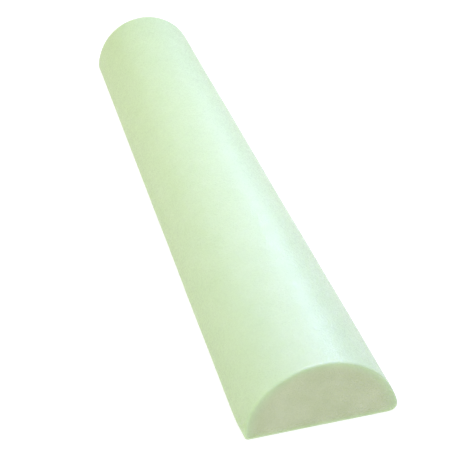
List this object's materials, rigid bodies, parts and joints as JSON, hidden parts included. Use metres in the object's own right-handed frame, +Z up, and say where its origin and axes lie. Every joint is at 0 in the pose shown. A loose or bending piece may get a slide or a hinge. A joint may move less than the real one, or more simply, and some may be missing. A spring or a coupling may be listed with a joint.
{
  "type": "half-round foam roller",
  "caption": "Long half-round log of soft closed-cell foam, round on top and flat underneath, for balance work, stretching and massage.",
  "frame": {"origin": "middle of the flat underside, on the surface that the roller lies on", "axes": "+X along the length, +Y across the flat side, +Z up through the crown of the round side"},
  "size_m": [0.9144, 0.1518, 0.0761],
  "materials": {
    "foam": "satin skin over fine closed cells, matte on the cut ends"
  },
  "bodies": {
    "root": {"foam_log": "foam"}
  },
  "joints": []
}
